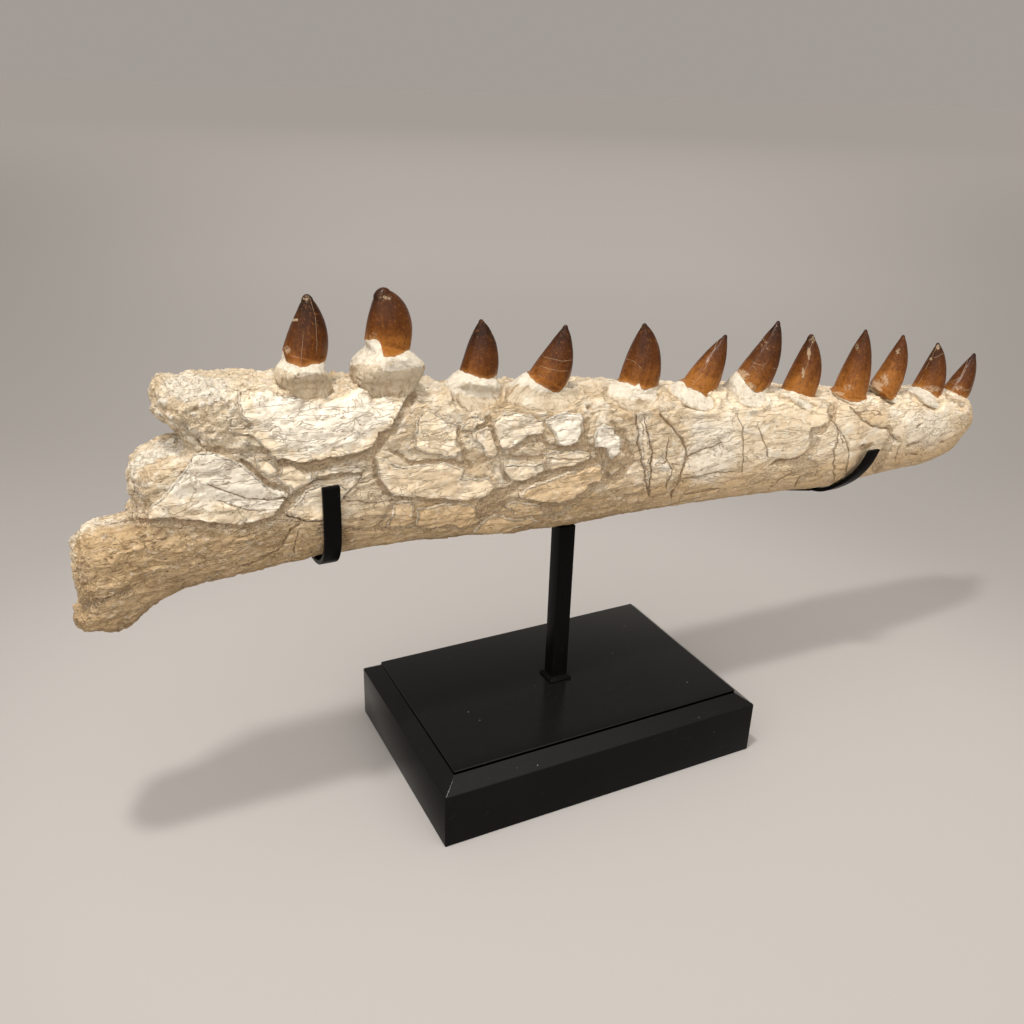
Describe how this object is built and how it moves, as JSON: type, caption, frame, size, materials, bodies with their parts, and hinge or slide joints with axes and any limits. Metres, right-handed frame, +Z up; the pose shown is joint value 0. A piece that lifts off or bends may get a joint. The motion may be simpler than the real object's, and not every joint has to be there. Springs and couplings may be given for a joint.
{
  "type": "fossil mosasaur jaw",
  "caption": "Toothed fossil jaw bone of a large marine reptile, resting in a black steel strap cradle on a post and a chamfered black base block.",
  "frame": {"origin": "middle of the base block's underside, on the surface that it stands on", "axes": "+Z up; +X along the jaw towards its blunt, toothed end; the face shown in the picture looks along -Y"},
  "size_m": [0.713, 0.1646, 0.3508],
  "materials": {
    "base_lacquer": "satin black lacquer",
    "stand_steel": "black gloss paint",
    "fossil_bone": "matte petrified bone",
    "fossil_tooth": "glossy brown enamel, chalky root"
  },
  "bodies": {
    "root": {"base_block": "base_lacquer", "post": "stand_steel", "cradle_rail": "stand_steel", "strap_rear": "stand_steel", "strap_front": "stand_steel", "jaw_bone": "fossil_bone", "tooth_01": "fossil_tooth", "tooth_02": "fossil_tooth", "tooth_03": "fossil_tooth", "tooth_04": "fossil_tooth", "tooth_05": "fossil_tooth", "tooth_06": "fossil_tooth", "tooth_07": "fossil_tooth", "tooth_08": "fossil_tooth", "tooth_09": "fossil_tooth", "tooth_10": "fossil_tooth", "tooth_11": "fossil_tooth", "tooth_12": "fossil_tooth"}
  },
  "joints": []
}
